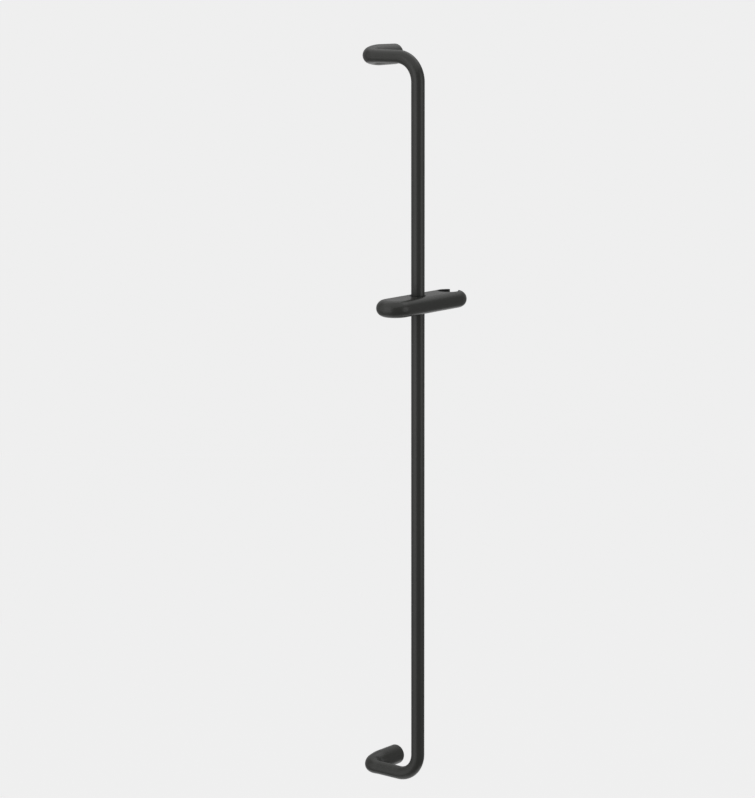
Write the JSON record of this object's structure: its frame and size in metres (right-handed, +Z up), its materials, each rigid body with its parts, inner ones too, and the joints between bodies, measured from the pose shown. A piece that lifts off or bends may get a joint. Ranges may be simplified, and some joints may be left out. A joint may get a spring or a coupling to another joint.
{
  "type": "shower slide rail",
  "caption": "Wall-fixed shower slide rail: a bent round tube between two flared brackets, with a bar-shaped hand-shower holder that slides along it and swivels.",
  "frame": {"origin": "midway between the two wall fixings, on the face of the wall", "axes": "+Z up along the rail, +Y into the wall (the room is on the -Y side), +X sideways from the wall fixings towards the rail"},
  "size_m": [0.1125, 0.1419, 0.898],
  "materials": {
    "rail_coat": "fine matt black powder coat",
    "bracket_coat": "fine matt black powder coat",
    "holder_coat": "fine matt black powder coat",
    "bush_nylon": "moulded black nylon",
    "liner_nylon": "moulded black nylon",
    "gasket_rubber": "matt black rubber",
    "screw_steel": "plain stainless steel",
    "anchor_brass": "turned brass"
  },
  "bodies": {
    "rail": {"rail_tube": "rail_coat", "upper_bracket": "bracket_coat", "lower_bracket": "bracket_coat", "upper_joint_spigot": "screw_steel", "lower_joint_spigot": "screw_steel", "upper_joint_screw": "screw_steel", "lower_joint_screw": "screw_steel", "upper_wall_anchor": "anchor_brass", "lower_wall_anchor": "anchor_brass", "upper_anchor_screw": "screw_steel", "lower_anchor_screw": "screw_steel", "upper_wall_gasket": "gasket_rubber", "lower_wall_gasket": "gasket_rubber"},
    "bush": {"slide_bush": "bush_nylon"},
    "holder": {"holder_body": "holder_coat", "holder_cover": "holder_coat", "room_cover_screw": "screw_steel", "cup_cover_screw": "screw_steel", "brake_shoe": "bush_nylon", "brake_spring": "screw_steel", "cup_liner": "liner_nylon"}
  },
  "joints": [
    {"name": "holder_slide", "type": "slide", "parent": "rail", "child": "bush", "axis": [0, 0, 1], "range_m": [-0.543, 0.249]},
    {"name": "holder_swivel", "type": "hinge", "parent": "bush", "child": "holder", "pos_m": [0.0777, -0.0598, 0.147], "axis": [0, 0, 1], "continuous": true}
  ]
}
